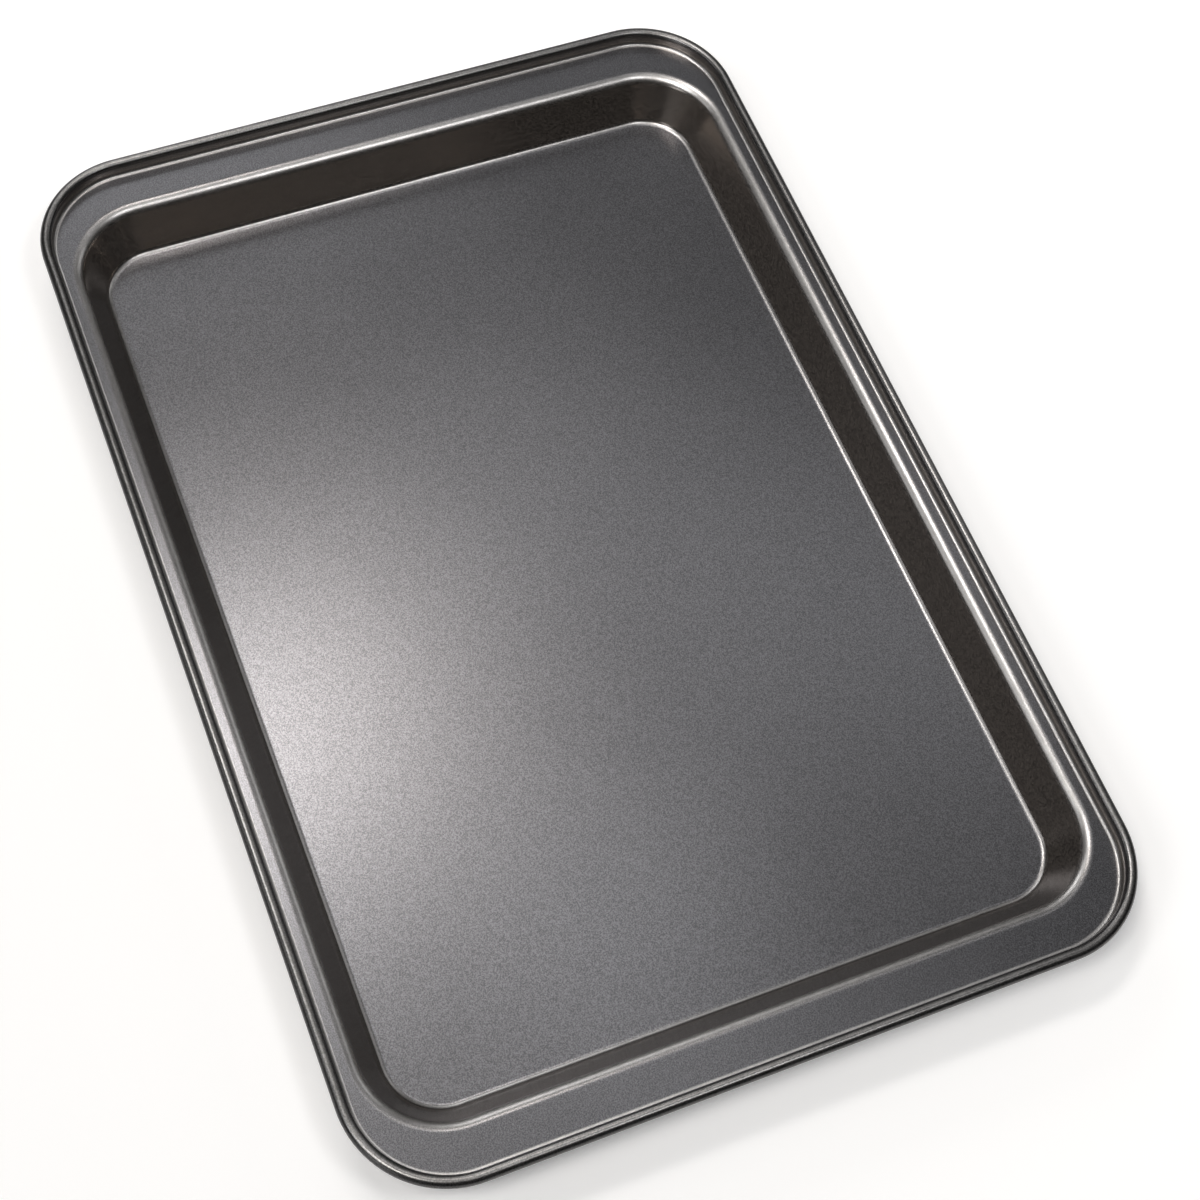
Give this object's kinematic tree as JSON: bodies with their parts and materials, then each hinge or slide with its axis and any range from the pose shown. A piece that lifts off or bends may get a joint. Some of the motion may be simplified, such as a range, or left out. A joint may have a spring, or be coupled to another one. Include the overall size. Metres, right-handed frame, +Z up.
{
  "type": "jelly roll pan",
  "caption": "Shallow rectangular jelly roll pan of coated steel with leaning walls, a flat flange that is wider at the short ends, and a rolled rim stiffened by a hidden wire.",
  "frame": {"origin": "centre of the flat underside, on the surface that the pan stands on", "axes": "+X along the length, +Y across the width, +Z up out of the open top"},
  "size_m": [0.432, 0.294, 0.0255],
  "materials": {
    "nonstick_steel": "satin charcoal non-stick coating with a fine metallic speckle",
    "steel_wire": "bare drawn steel wire"
  },
  "bodies": {
    "root": {"pan_shell": "nonstick_steel", "rim_wire": "steel_wire"}
  },
  "joints": []
}
